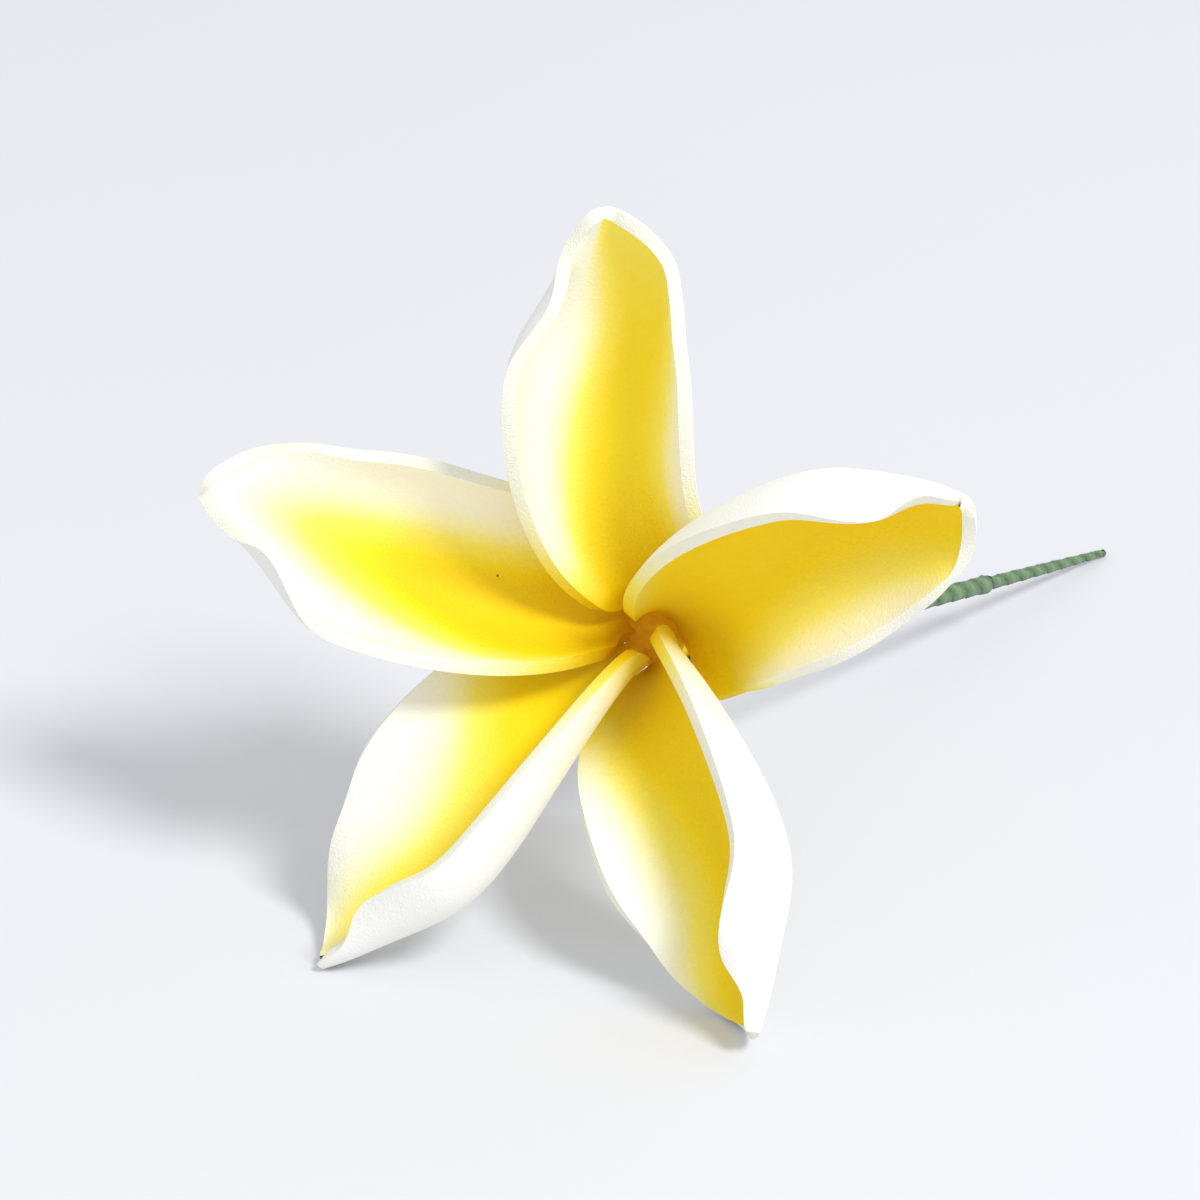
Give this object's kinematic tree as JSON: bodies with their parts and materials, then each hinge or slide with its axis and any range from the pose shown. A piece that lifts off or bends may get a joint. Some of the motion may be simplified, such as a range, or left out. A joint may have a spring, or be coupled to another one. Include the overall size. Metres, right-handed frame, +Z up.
{
  "type": "plumeria flower",
  "caption": "Artificial plumeria flower of curled foam petals in a pinwheel on a short taped wire stem, lying on its lower petals and the stem's end.",
  "frame": {"origin": "centre of the bounding box at the table, where the flower lies", "axes": "+Z up from the table; the flower looks towards -Y, turned to -X and raised, and the stem runs back towards +Y and +X"},
  "size_m": [0.1126, 0.1324, 0.0832],
  "materials": {
    "petal": "satin",
    "tape": "matte",
    "wire": "satin"
  },
  "bodies": {
    "root": {"petal_1": "petal", "petal_2": "petal", "petal_3": "petal", "petal_4": "petal", "petal_5": "petal", "base_tape": "tape", "stem_tape": "tape", "stem_wire": "wire"}
  },
  "joints": []
}
